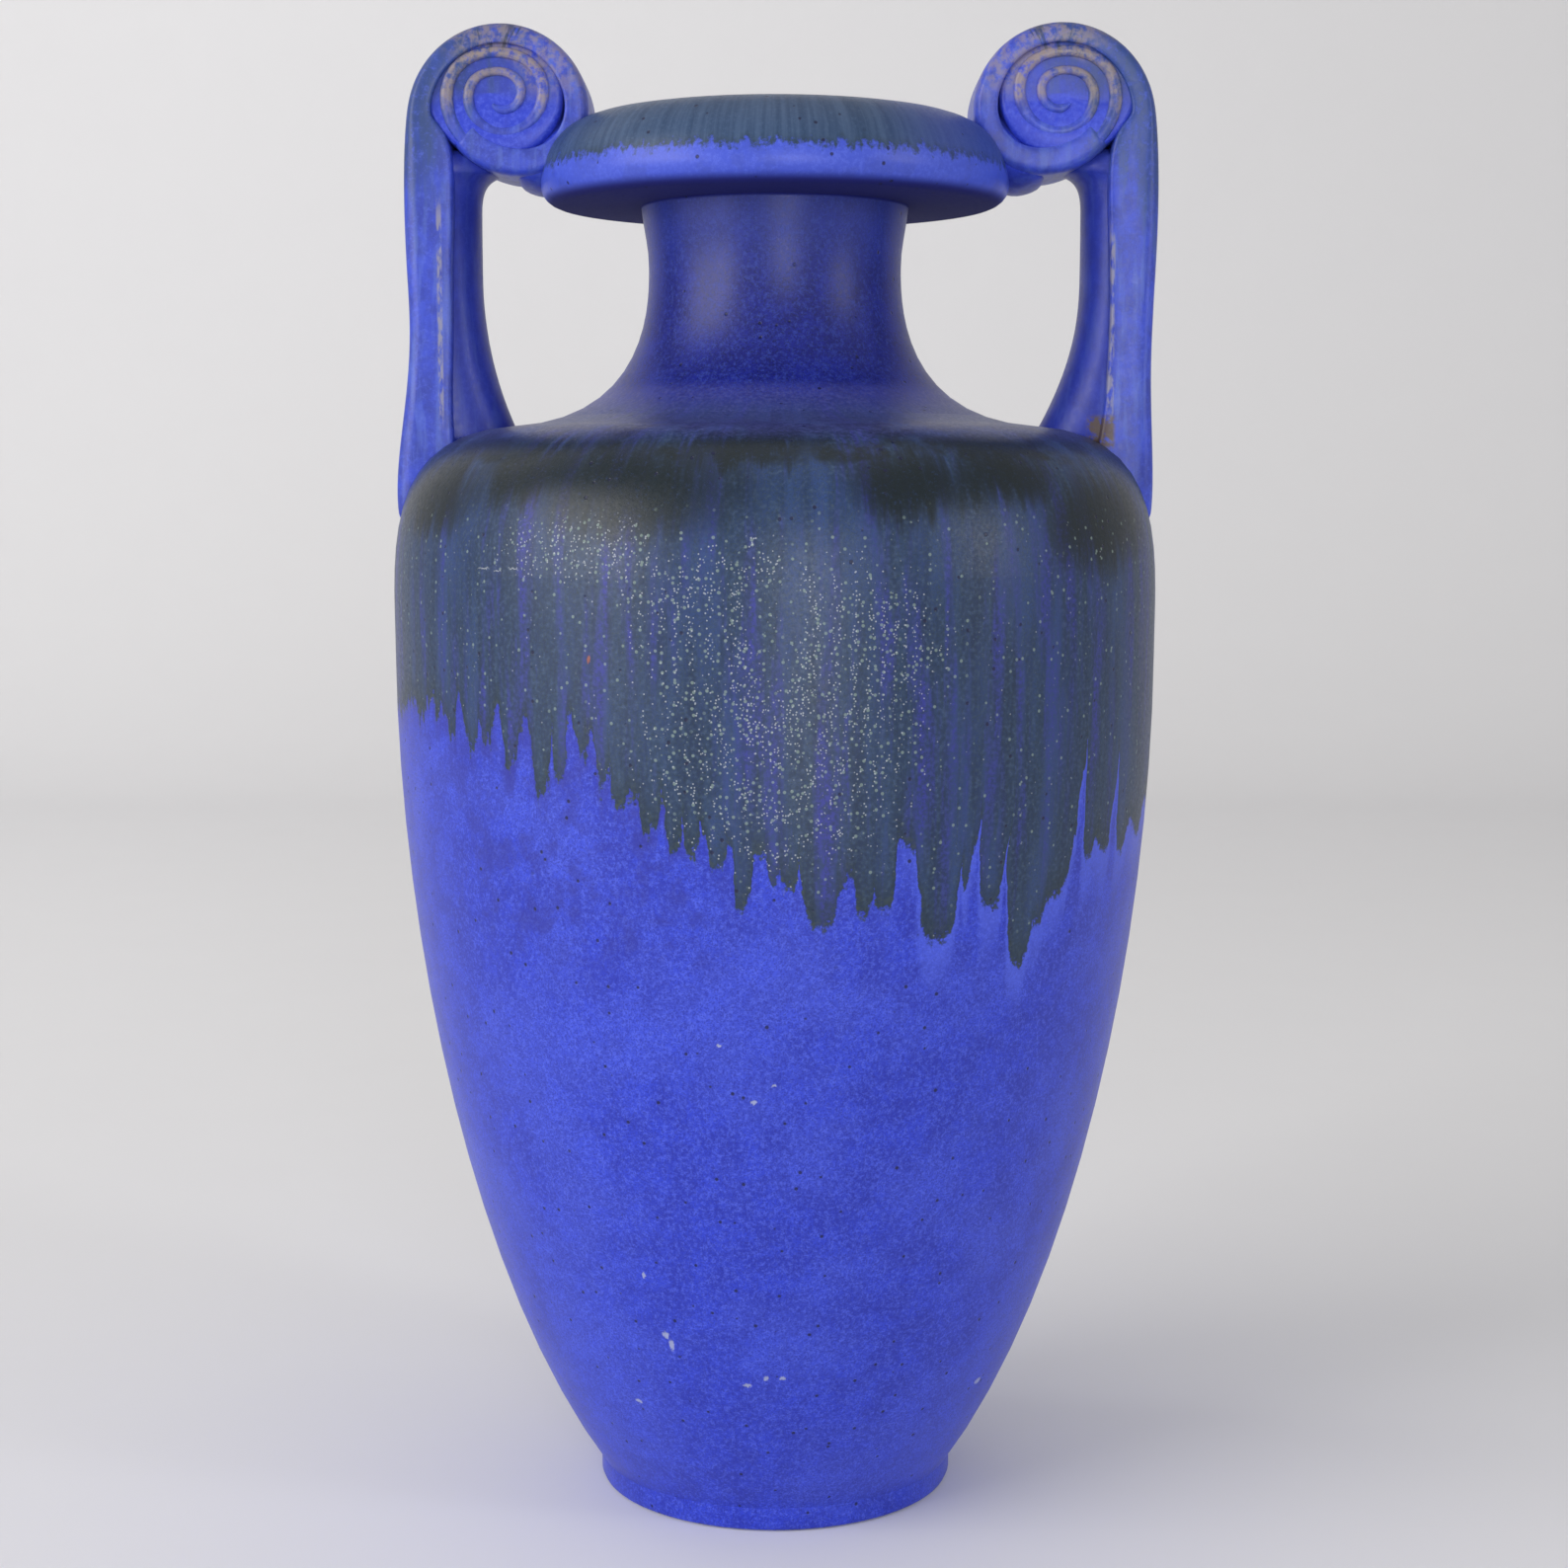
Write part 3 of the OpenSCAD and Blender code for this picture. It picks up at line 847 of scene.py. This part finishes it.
inner_wall = [p for p in lining[: BODY_SEAM + 1] if p[1] > FLOOR_Z + WALL]
floor_corner = (inner_wall[0][0] - 2 * WALL, FLOOR_Z)
body_profile = (
    [(0, FOOT_H)] + skin[: BODY_SEAM + 1] + lap_up(BODY_SEAM)
    + inner_wall[::-1] + [floor_corner, (0, FLOOR_Z)]
)
body = throw("thrown_body", body_profile)
lay_on(body, glaze_body, "lower_body")

shoulder_profile = (
    skin[BODY_SEAM: NECK_SEAM + 1] + lap_up(NECK_SEAM)
    + lining[BODY_SEAM + 2: NECK_SEAM + 1][::-1] + lap_down(BODY_SEAM)
)
shoulder = throw("thrown_shoulder", shoulder_profile)
lay_on(shoulder, glaze_body, "shoulder")

TONGUE_R = NECK_TOP_R - WALL / 2
neck_profile = (
    skin[NECK_SEAM:]
    + [(TONGUE_R, LIP_Z), (TONGUE_R, LIP_Z + TONGUE_H), (THROAT_R, LIP_Z + TONGUE_H)]
    + lining[NECK_SEAM + 2: -1][::-1] + lap_down(NECK_SEAM)
)
neck = throw("thrown_neck", neck_profile)
lay_on(neck, glaze_body, "neck")

lip_profile = (
    [(TONGUE_R, LIP_Z + TONGUE_H), (TONGUE_R, LIP_Z), (NECK_TOP_R, LIP_Z)]
    + arc((LIP_R - LIP_EDGE_R, LIP_Z + LIP_EDGE_R), LIP_EDGE_R, -90, 0, 6)
    + curve((LIP_R, LIP_Z + LIP_EDGE_R), (LIP_R, LIP_Z + LIP_EDGE_R + 3), (LIP_R - 1.5, RIM_Z),
            (RIM_R, RIM_Z), 14, 1)
    + curve((RIM_R, RIM_Z), (RIM_R - 5, RIM_Z), (THROAT_R, RIM_Z - 5),
            (THROAT_R, LIP_Z + TONGUE_H), 10, 1)
)
lip = throw("domed_lip", lip_profile)
lay_on(lip, glaze_body, "lip")

# ---------------------------------------------------------------------------
# The handles
# ---------------------------------------------------------------------------


def curl(turns):
    """How far the roll has turned into the coil: 0 on the strap, 1 in the coil."""
    share = min(max((turns - 0.45) / 0.45, 0.0), 1.0)
    return share * share * (3 - 2 * share)


def scroll_point(turns, out=0.0):
    """A point of the scroll, so many turns in from the strap's outer side.

    The roll's centre climbs to the eye as it tightens, and the coil is pressed flatter
    above its eye than below it.
    """
    angle = 2 * math.pi * turns
    tight = curl(turns)
    radius = (ROLL_R - ROLL_PITCH * turns) * (1 - tight) + (COIL_R - COIL_PITCH * turns) * tight + out
    press = 1 - 0.15 * tight * max(math.sin(angle), 0.0)
    x = SCROLL_X - 1 + tight + radius * math.cos(angle)
    z = SCROLL_Z - ROLL_DROP * (1 - tight) + radius * math.sin(angle) * press
    return x, z


def station(outer, inner, start_thick):
    """A place along a strip, given its two edges and the thickness it started with."""
    x = (outer[0] + inner[0]) / 2
    z = (outer[1] + inner[1]) / 2
    lean = math.degrees(math.atan2(outer[1] - inner[1], outer[0] - inner[0]))
    thick = math.hypot(outer[0] - inner[0], outer[1] - inner[1]) / start_thick
    return [x, z, lean, thick]


def unwind(stations):
    """Keeps the lean growing past half a turn instead of jumping back."""
    for before, after in zip(stations, stations[1:]):
        while after[2] - before[2] > 180:
            after[2] -= 360
        while after[2] - before[2] < -180:
            after[2] += 360
    return stations


STRAP_THICK = STRAP_OUT_X - STRAP_IN_X
STRAP_WAIST_Z = STRAP_FOOT_Z + 55
outer_line = (
    curve((STRAP_OUT_X + 1.5, STRAP_FOOT_Z), (STRAP_OUT_X + 4.4, STRAP_FOOT_Z + 15),
          (STRAP_OUT_X - 1.4, STRAP_FOOT_Z + 31), (STRAP_OUT_X, STRAP_WAIST_Z), 8)
    + curve((STRAP_OUT_X, STRAP_WAIST_Z), (STRAP_OUT_X + 0.8, STRAP_FOOT_Z + 69),
            (STRAP_OUT_X + 1.4, SCROLL_Z - 18), scroll_point(0, BAND_HALF), 8, 1)
)
inner_line = (
    curve((STRAP_IN_X - 2.0, 253), (STRAP_IN_X, 262), (STRAP_IN_X, 272),
          (STRAP_IN_X, STRAP_WAIST_Z), 8)
    + curve((STRAP_IN_X, STRAP_WAIST_Z), (STRAP_IN_X, SCROLL_Z - 22),
            (STRAP_IN_X - 3.5, SCROLL_Z - 10), scroll_point(0, -BAND_HALF), 8, 1)
)
strap_stations = [station(o, i, STRAP_THICK) for o, i in zip(outer_line, inner_line)]
ROLL_STEPS = 36
ROLL_TURNS = 0.88
for step in range(1, ROLL_STEPS + 1):
    turns = ROLL_TURNS * step / ROLL_STEPS
    inward = -BAND_HALF + 0.9 * math.sin(2 * math.pi * turns)
    strap_stations.append(station(
        scroll_point(turns, BAND_HALF - 0.1), scroll_point(turns, inward), STRAP_THICK))
unwind(strap_stations)


OUTER_CORNER = 3.6
INNER_CORNER = 1.3


def make_strap():
    """The strap: a flat pull of clay with soft outer corners and crisp inner ones."""
    put_down()
    x, z, lean, thick = strap_stations[0]
    bpy.ops.mesh.primitive_plane_add(size=1, location=(x * MM, 0, z * MM))
    piece = take_up("right_strap_handle")
    hub = (x * MM, 0, z * MM)
    bpy.ops.transform.resize(
        value=(STRAP_THICK * MM, 2 * STRAP_HALF_WIDTH * MM, 1), center_override=hub)
    pick(piece, lambda p: p.x > x)
    bpy.ops.mesh.bevel(offset=OUTER_CORNER * MM, segments=4, affect="VERTICES")
    pick(piece, lambda p: p.x < x - 0.45 * STRAP_THICK)
    bpy.ops.mesh.bevel(offset=INNER_CORNER * MM, segments=2, affect="VERTICES")
    bpy.ops.mesh.select_all(action="SELECT")
    bpy.ops.transform.resize(value=(thick, 1, 1), center_override=hub)
    bpy.ops.transform.rotate(
        value=math.radians(lean), orient_axis="Y", center_override=hub)
    bpy.ops.mesh.select_mode(type="FACE")
    draw_out(strap_stations)
    close_up()
    bpy.ops.object.mode_set(mode="OBJECT")
    refine(piece, 2)
    return fire(piece, 60)


CROWN_Z = SCROLL_Z - 17.2
RIB_AXIS = STRAP_IN_X + 2.2
RIB_MIN_HALF = 10.8
RIB_MAX_HALF = 12.0
RIB_BACK = 0.05
RIB_FLARE = curve((RIB_R + 9.6, SHOULDER_Z - 2), (RIB_R + 3.4, SHOULDER_Z + 10),
                  (RIB_R, SHOULDER_Z + 22), (RIB_R, SHOULDER_Z + 36), 10)
RIB_CROWN = curve((RIB_R, CROWN_Z - 9.8), (RIB_R, CROWN_Z - 3.3),
                  (RIB_R + 1.2, CROWN_Z - 1.4), (RIB_R + 6, CROWN_Z), 8)


def make_rib():
    """The rounded rib inside the strap, flaring on to the shoulder and under the scroll."""
    put_down()
    stations = []
    for reach, z in [(RIB_R + 12.5, SHOULDER_Z - 7)] + RIB_FLARE + RIB_CROWN:
        half = min(RIB_MAX_HALF, RIB_MIN_HALF + (reach - RIB_R) * 0.30)
        stations.append((RIB_AXIS - RIB_X + reach, z, half))
    stations.append((stations[-1][0] - 1.0, CROWN_Z + 6, stations[-1][2]))
    bulge, z, half = stations[0]
    bpy.ops.mesh.primitive_circle_add(
        vertices=28, radius=MM, location=(RIB_AXIS * MM, 0, z * MM), fill_type="NGON")
    piece = take_up("right_handle_rib")
    bpy.ops.transform.resize(
        value=(bulge, half, 1), center_override=(RIB_AXIS * MM, 0, z * MM))
    # The side against the strap is pressed almost flat
    pick(piece, lambda p: p.x > RIB_AXIS + 0.01)
    bpy.ops.transform.resize(
        value=(RIB_BACK, 1, 1), center_override=(RIB_AXIS * MM, 0, z * MM))
    bpy.ops.mesh.select_all(action="SELECT")
    bpy.ops.mesh.select_mode(type="FACE")
    for next_bulge, next_z, next_half in stations[1:]:
        bpy.ops.mesh.extrude_region_move(
            TRANSFORM_OT_translate={"value": (0, 0, (next_z - z) * MM)})
        bpy.ops.transform.resize(
            value=(next_bulge / bulge, next_half / half, 1),
            center_override=(RIB_AXIS * MM, 0, next_z * MM))
        bulge, z, half = next_bulge, next_z, next_half
    close_up()
    bpy.ops.object.mode_set(mode="OBJECT")
    refine(piece, 1)
    return fire(piece, 60)


CORE_R = 15.4
# How much the disc is pressed down above the eye, and stretched towards the strap
CORE_PRESS = 0.84
CORE_STRETCH = 1.19
FACE_RINGS = 8
FACE_RING_STEP = 1.45
# Each swelling of the pooled glaze: below this height from the eye, within this reach of it
POOL_STEPS = ((-2.5, 14.2), (-4.5, 13.4), (-6.5, 12.8), (-8.5, 12.4))
POOL_SWELL = 1.016


def make_core():
    """The clay inside the roll: a disc, with glaze pooled at the foot of each face."""
    put_down()
    bpy.ops.mesh.primitive_circle_add(
        vertices=72, radius=CORE_R * MM, fill_type="NGON",
        location=(SCROLL_X * MM, CORE_FACE * MM, SCROLL_Z * MM), rotation=(math.pi / 2, 0, 0))
    piece = take_up("right_scroll_core")
    hub = (SCROLL_X * MM, 0, SCROLL_Z * MM)
    pick(piece, lambda p: p.z > SCROLL_Z + 0.01)
    bpy.ops.transform.resize(value=(1, 1, CORE_PRESS), center_override=hub)
    pick(piece, lambda p: p.x > SCROLL_X + 0.01)
    bpy.ops.transform.resize(value=(CORE_STRETCH, 1, 1), center_override=hub)
    bpy.ops.mesh.select_all(action="SELECT")
    bpy.ops.mesh.select_mode(type="FACE")
    bpy.ops.mesh.extrude_region_move(TRANSFORM_OT_translate={"value": (0, -2 * CORE_FACE * MM, 0)})
    for face_y in (-CORE_FACE, CORE_FACE):
        pick(piece, lambda p: abs(p.y - face_y) < 0.1, "FACE")
        for _ in range(FACE_RINGS):
            bpy.ops.mesh.inset(thickness=FACE_RING_STEP * MM)
    for low, reach in POOL_STEPS:
        pick(piece, lambda p: abs(p.y) > CORE_FACE - 0.3 and p.z - SCROLL_Z < low
             and math.hypot(p.x - SCROLL_X, p.z - SCROLL_Z) < reach)
        bpy.ops.transform.resize(value=(1, POOL_SWELL, 1), center_override=hub)
    close_up()
    bpy.ops.object.mode_set(mode="OBJECT")
    refine(piece, 1)
    return fire(piece, 50)


COIL_HALF = 1.75
COIL_RISE = 0.58
# The coil's two ends, in turns in from the strap
COIL_FROM = 0.80
COIL_TO = 2.86
COIL_STEPS = 96


def make_coil(side):
    """One raised coil, half round, tapering in to the eye."""
    put_down()
    name = "right_front_coil_ridge" if side < 0 else "right_back_coil_ridge"
    stations = []
    for step in range(COIL_STEPS + 1):
        share = step / COIL_STEPS
        turns = COIL_FROM + (COIL_TO - COIL_FROM) * share
        half = COIL_HALF * (1 - 0.35 * share)
        half *= min(1.0, 0.35 + 0.13 * (COIL_STEPS - step))
        stations.append(station(
            scroll_point(turns, half), scroll_point(turns, -half), 2 * COIL_HALF))
    unwind(stations)
    x, z, lean, thick = stations[0]
    face = side * CORE_FACE
    bpy.ops.mesh.primitive_circle_add(
        vertices=10, radius=COIL_HALF * MM, fill_type="NGON",
        location=(x * MM, face * MM, z * MM))
    piece = take_up(name)
    hub = (x * MM, face * MM, z * MM)
    bpy.ops.transform.resize(value=(thick, COIL_RISE, 1), center_override=hub)
    bpy.ops.transform.rotate(
        value=math.radians(lean), orient_axis="Y", center_override=hub)
    bpy.ops.mesh.select_mode(type="FACE")
    draw_out(stations)
    close_up(0.001)
    bpy.ops.object.mode_set(mode="OBJECT")
    refine(piece, 1)
    return fire(piece, 70)


# The pad's middle, half height and half width on its way from the scroll to the lip
PAD_STATIONS = (
    (63.0, 322.6, 2.6, 11.0), (60.5, 323.4, 4.8, 12.8), (58.0, 324.6, 6.8, 13.4),
    (55.5, 326.0, 8.4, 13.6), (53.0, 327.6, 9.4, 13.6), (50.5, 329.2, 9.4, 13.6),
    (48.0, 331.2, 7.8, 13.6), (45.5, 333.0, 5.4, 13.4),
)


def make_pad():
    """Clay pressed in between the scroll and the lip, waisted like a saddle."""
    put_down()
    x, z, tall, wide = PAD_STATIONS[0]
    bpy.ops.mesh.primitive_circle_add(
        vertices=24, radius=MM, fill_type="NGON", location=(x * MM, 0, z * MM),
        rotation=(0, math.pi / 2, 0))
    piece = take_up("right_lip_joint")
    bpy.ops.transform.resize(value=(1, wide, tall), center_override=(x * MM, 0, z * MM))
    bpy.ops.mesh.select_mode(type="FACE")
    for to_x, to_z, to_tall, to_wide in PAD_STATIONS[1:]:
        bpy.ops.mesh.extrude_region_move(
            TRANSFORM_OT_translate={"value": ((to_x - x) * MM, 0, (to_z - z) * MM)})
        bpy.ops.transform.resize(
            value=(1, to_wide / wide, to_tall / tall),
            center_override=(to_x * MM, 0, to_z * MM))
        x, z, tall, wide = to_x, to_z, to_tall, to_wide
    close_up()
    bpy.ops.object.mode_set(mode="OBJECT")
    refine(piece, 1)
    return fire(piece, 60)


def mirrored(piece, name):
    """A copy of a right-hand piece, with its own mesh, for the left side."""
    put_down()
    piece.select_set(True)
    bpy.context.view_layer.objects.active = piece
    bpy.ops.object.duplicate(linked=False)
    copy = bpy.context.object
    copy.name = name
    copy.data.name = name
    bpy.ops.object.mode_set(mode="EDIT")
    bpy.ops.mesh.select_all(action="SELECT")
    bpy.ops.transform.resize(value=(-1, 1, 1), center_override=(0, 0, 0))
    bpy.ops.mesh.normals_make_consistent(inside=False)
    bpy.ops.object.mode_set(mode="OBJECT")
    return copy


# How far each handle was pushed over while the clay was soft: sideways and up
LEAN_LEFT = (1.3, -0.3)
LEAN_RIGHT = (1.8, 0.0)
LEAN_FROM_Z = 290.0
LEAN_REACH = 48.0


def push_over(piece, lean):
    """Pushes the upper part of a piece over, fading out down the handle."""
    put_down()
    piece.select_set(True)
    bpy.context.view_layer.objects.active = piece
    bpy.ops.object.mode_set(mode="EDIT")
    pick(piece, lambda p: p.z > LEAN_FROM_Z)
    bpy.ops.transform.translate(
        value=(lean[0] * MM, 0, lean[1] * MM), use_proportional_edit=True,
        proportional_edit_falloff="SMOOTH", proportional_size=LEAN_REACH * MM)
    bpy.ops.object.mode_set(mode="OBJECT")


right_pieces = (
    (make_strap(), "left_strap_handle", "strap", glaze_strap, "cobalt_glaze"),
    (make_rib(), "left_handle_rib", "rib", glaze_rib, "deep_blue_glaze"),
    (make_core(), "left_scroll_core", "scroll_core", glaze_core, "deep_blue_glaze"),
    (make_coil(-1), "left_front_coil_ridge", "front_coil", glaze_coil, "worn_glaze"),
    (make_coil(1), "left_back_coil_ridge", "back_coil", glaze_coil, "worn_glaze"),
    (make_pad(), "left_lip_joint", "lip_pad", glaze_core, "cobalt_glaze"),
)
for right_piece, left_name, part, glaze, slot in right_pieces:
    left_piece = mirrored(right_piece, left_name)
    push_over(right_piece, LEAN_RIGHT)
    push_over(left_piece, LEAN_LEFT)
    lay_on(right_piece, glaze, "right_" + part)
    lay_on(left_piece, glaze, "left_" + part)

# ---------------------------------------------------------------------------
# Stage and light
# ---------------------------------------------------------------------------


CARD_COLOUR = (0.80, 0.80, 0.82)
CARD_ROUGH = 0.9
CARD_SPECULAR = 0.2
# The table's size and its middle's place, and the bend up into the wall, in metres
TABLE_SIZE = 4
TABLE_MIDDLE_Y = -0.6
BEND_STEPS = 12
BEND_STEP = 0.06
BEND_DEGREES = 7.5
WALL_RISE = 3.0


def plain_card(name):
    """A pale matt card with a faint cloudiness."""
    r = Recipe(name)
    grain = r.noise(r.place(), 0.02, 2, 0.5)
    paper = r.mix(grain * 0.06, CARD_COLOUR, (1.0, 1.0, 1.0))
    return r.finish(paper, CARD_ROUGH, r.bump(grain, 0.02, 0.05), CARD_SPECULAR)


def make_sweep():
    """A pale table that runs back and curves up into the wall."""
    put_down()
    bpy.ops.mesh.primitive_plane_add(size=TABLE_SIZE, location=(0, TABLE_MIDDLE_Y, 0))
    floor = take_up("studio_sweep")
    pick(floor, lambda p: p.y > 1000, "EDGE")
    lean = 0.0
    for _ in range(BEND_STEPS):
        lean += math.radians(BEND_DEGREES)
        bpy.ops.mesh.extrude_region_move(TRANSFORM_OT_translate={
            "value": (0, BEND_STEP * math.cos(lean), BEND_STEP * math.sin(lean))})
    bpy.ops.mesh.extrude_region_move(TRANSFORM_OT_translate={"value": (0, 0, WALL_RISE)})
    close_up()
    fire(floor, 60)
    floor.data.materials.append(plain_card("pale_card"))


AIR_COLOUR = (1.0, 0.975, 0.945, 1.0)
AIR_STRENGTH = 0.43
# Each light: name, place, point it faces, width and height, watts, colour
LIGHTS = (
    ("window_left", (-1.7, -0.9, 0.9), (0, 0, 0.2), (1.3, 1.3), 22, (1.0, 0.98, 0.96)),
    ("window_front", (0.27, -1.7, 0.35), (0, 0, 0.25), (0.4, 0.7), 7.5, (0.95, 0.97, 1.0)),
    ("lamp_left", (-1.05, -1.1, 0.45), (0, 0, 0.28), (0.22, 0.5), 3, (1.0, 0.99, 0.98)),
    ("lamp_right", (1.35, -0.7, 0.62), (0, 0, 0.28), (0.25, 0.5), 3.5, (0.98, 0.99, 1.0)),
    ("ceiling", (0, -0.2, 2.0), (0, 0, 0), (1.6, 1.6), 3, (1.0, 0.99, 0.98)),
    ("wall_wash", (-1.0, 0.5, 1.3), (-0.4, 1.9, 0.8), (0.8, 0.8), 4.5, (1.0, 0.99, 0.97)),
)


def add_light(name, place, aim, size, watts, colour):
    """A rectangular light at a place, turned to face its aim."""
    put_down()
    bpy.ops.object.light_add(type="AREA", location=place)
    light = bpy.context.object
    light.name = name
    light.data.shape = "RECTANGLE"
    light.data.size = size[0]
    light.data.size_y = size[1]
    light.data.energy = watts
    light.data.color = colour
    run = Vector(aim) - Vector(place)
    light.rotation_euler = run.to_track_quat("-Z", "Y").to_euler()


def light_studio():
    """Even warm air, and every light in turn."""
    world = bpy.data.worlds.new("studio_air")
    world.use_nodes = True
    air = world.node_tree.nodes["Background"]
    air.inputs["Color"].default_value = AIR_COLOUR
    air.inputs["Strength"].default_value = AIR_STRENGTH
    bpy.context.scene.world = world
    for light in LIGHTS:
        add_light(*light)


bpy.context.scene.view_settings.view_transform = "Standard"
bpy.context.scene.view_settings.look = "None"
set_camera()
make_sweep()
light_studio()
put_down()
